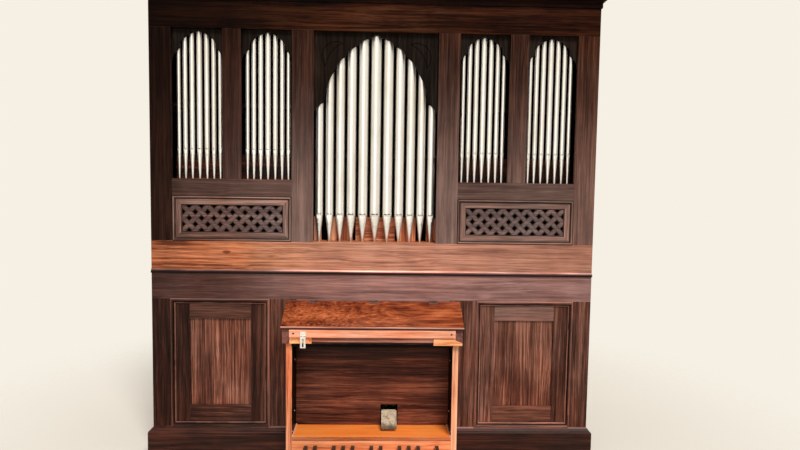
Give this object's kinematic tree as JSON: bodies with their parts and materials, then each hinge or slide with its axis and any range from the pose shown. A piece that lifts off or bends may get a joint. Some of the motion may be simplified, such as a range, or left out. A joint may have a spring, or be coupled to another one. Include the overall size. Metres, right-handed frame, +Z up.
{
  "type": "pipe organ",
  "caption": "Chamber pipe organ: arched flats of metal pipes over a panelled wood case, pierced grilles, and a console with a hinged lid, pedalboard and swell pedal.",
  "frame": {"origin": "on the floor, in the middle of the case's front plane", "axes": "+Z up, -Y toward the player, +X to the player's right"},
  "size_m": [3.18, 2.07, 3.312],
  "materials": {
    "case_wood": "satin",
    "waist_wood": "satin",
    "panel_wood": "satin",
    "spandrel_wood": "matte",
    "orange_wood": "satin",
    "burl_wood": "polished",
    "pedal_wood": "satin",
    "pipe_metal": "satin",
    "key_white": "gloss",
    "key_black": "satin",
    "steel": "satin",
    "cast_metal": "satin"
  },
  "bodies": {
    "case": {"plinth_front": "case_wood", "plinth_ends": "case_wood", "lower_rails": "case_wood", "lower_stiles": "case_wood", "console_back": "case_wood", "panel_moulding_stiles": "case_wood", "panel_moulding_rails": "case_wood", "panel_frame_stiles": "case_wood", "panel_frame_rails": "case_wood", "panel_boards": "panel_wood", "waist_moulding": "case_wood", "waist_rail": "waist_wood", "upper_stiles": "case_wood", "side_sill_rails": "case_wood", "frieze": "case_wood", "cornice": "case_wood", "end_mouldings": "case_wood", "roof": "case_wood", "side_stiles": "case_wood", "back_stiles": "case_wood", "case_rails": "case_wood", "case_panels": "panel_wood", "arch_panel_centre": "spandrel_wood", "arch_panels_side": "spandrel_wood", "grille_frame_stiles": "case_wood", "grille_frame_rails": "case_wood", "grille_left": "case_wood", "grille_right": "case_wood", "pipes_centre": "pipe_metal", "pipes_left": "pipe_metal", "pipes_right": "pipe_metal", "toe_boards": "waist_wood", "wind_chest_centre": "orange_wood", "wind_chest_sides": "waist_wood", "pipe_racks": "case_wood", "rack_arms": "case_wood", "console_posts": "orange_wood", "kneeboard": "case_wood", "kneeboard_foot": "case_wood", "toe_shelf": "orange_wood", "key_bed": "case_wood", "key_slip": "case_wood", "desk_cheeks": "case_wood", "key_blocks": "orange_wood", "nameboard": "case_wood", "manual_naturals": "key_white", "manual_sharps": "key_black", "lid_ledge": "case_wood", "console_fittings": "steel", "pedal_cheeks": "case_wood", "pedal_rails": "case_wood", "pedal_naturals": "pedal_wood", "pedal_sharp_keys": "pedal_wood", "pedal_sharps": "key_black"},
    "lid": {"lid_board": "burl_wood", "lid_rail": "orange_wood", "lid_fittings": "steel"},
    "hasp": {"hasp_strap": "steel"},
    "swell": {"swell_pedal": "cast_metal", "swell_lugs": "cast_metal"}
  },
  "joints": [
    {"name": "lid_hinge", "type": "hinge", "parent": "case", "child": "lid", "pos_m": [0, -0.022, 1.1425], "axis": [-1, 0, 0], "range_deg": [0, 105]},
    {"name": "hasp_hinge", "type": "hinge", "parent": "lid", "child": "hasp", "pos_m": [-0.462, -0.2665, 0.95326], "axis": [-1, 0, 0], "range_deg": [0, 120]},
    {"name": "swell_pedal_tilt", "type": "hinge", "parent": "case", "child": "swell", "pos_m": [0.119, -0.05, 0.288], "axis": [1, 0, 0], "range_deg": [-10, 10]}
  ]
}
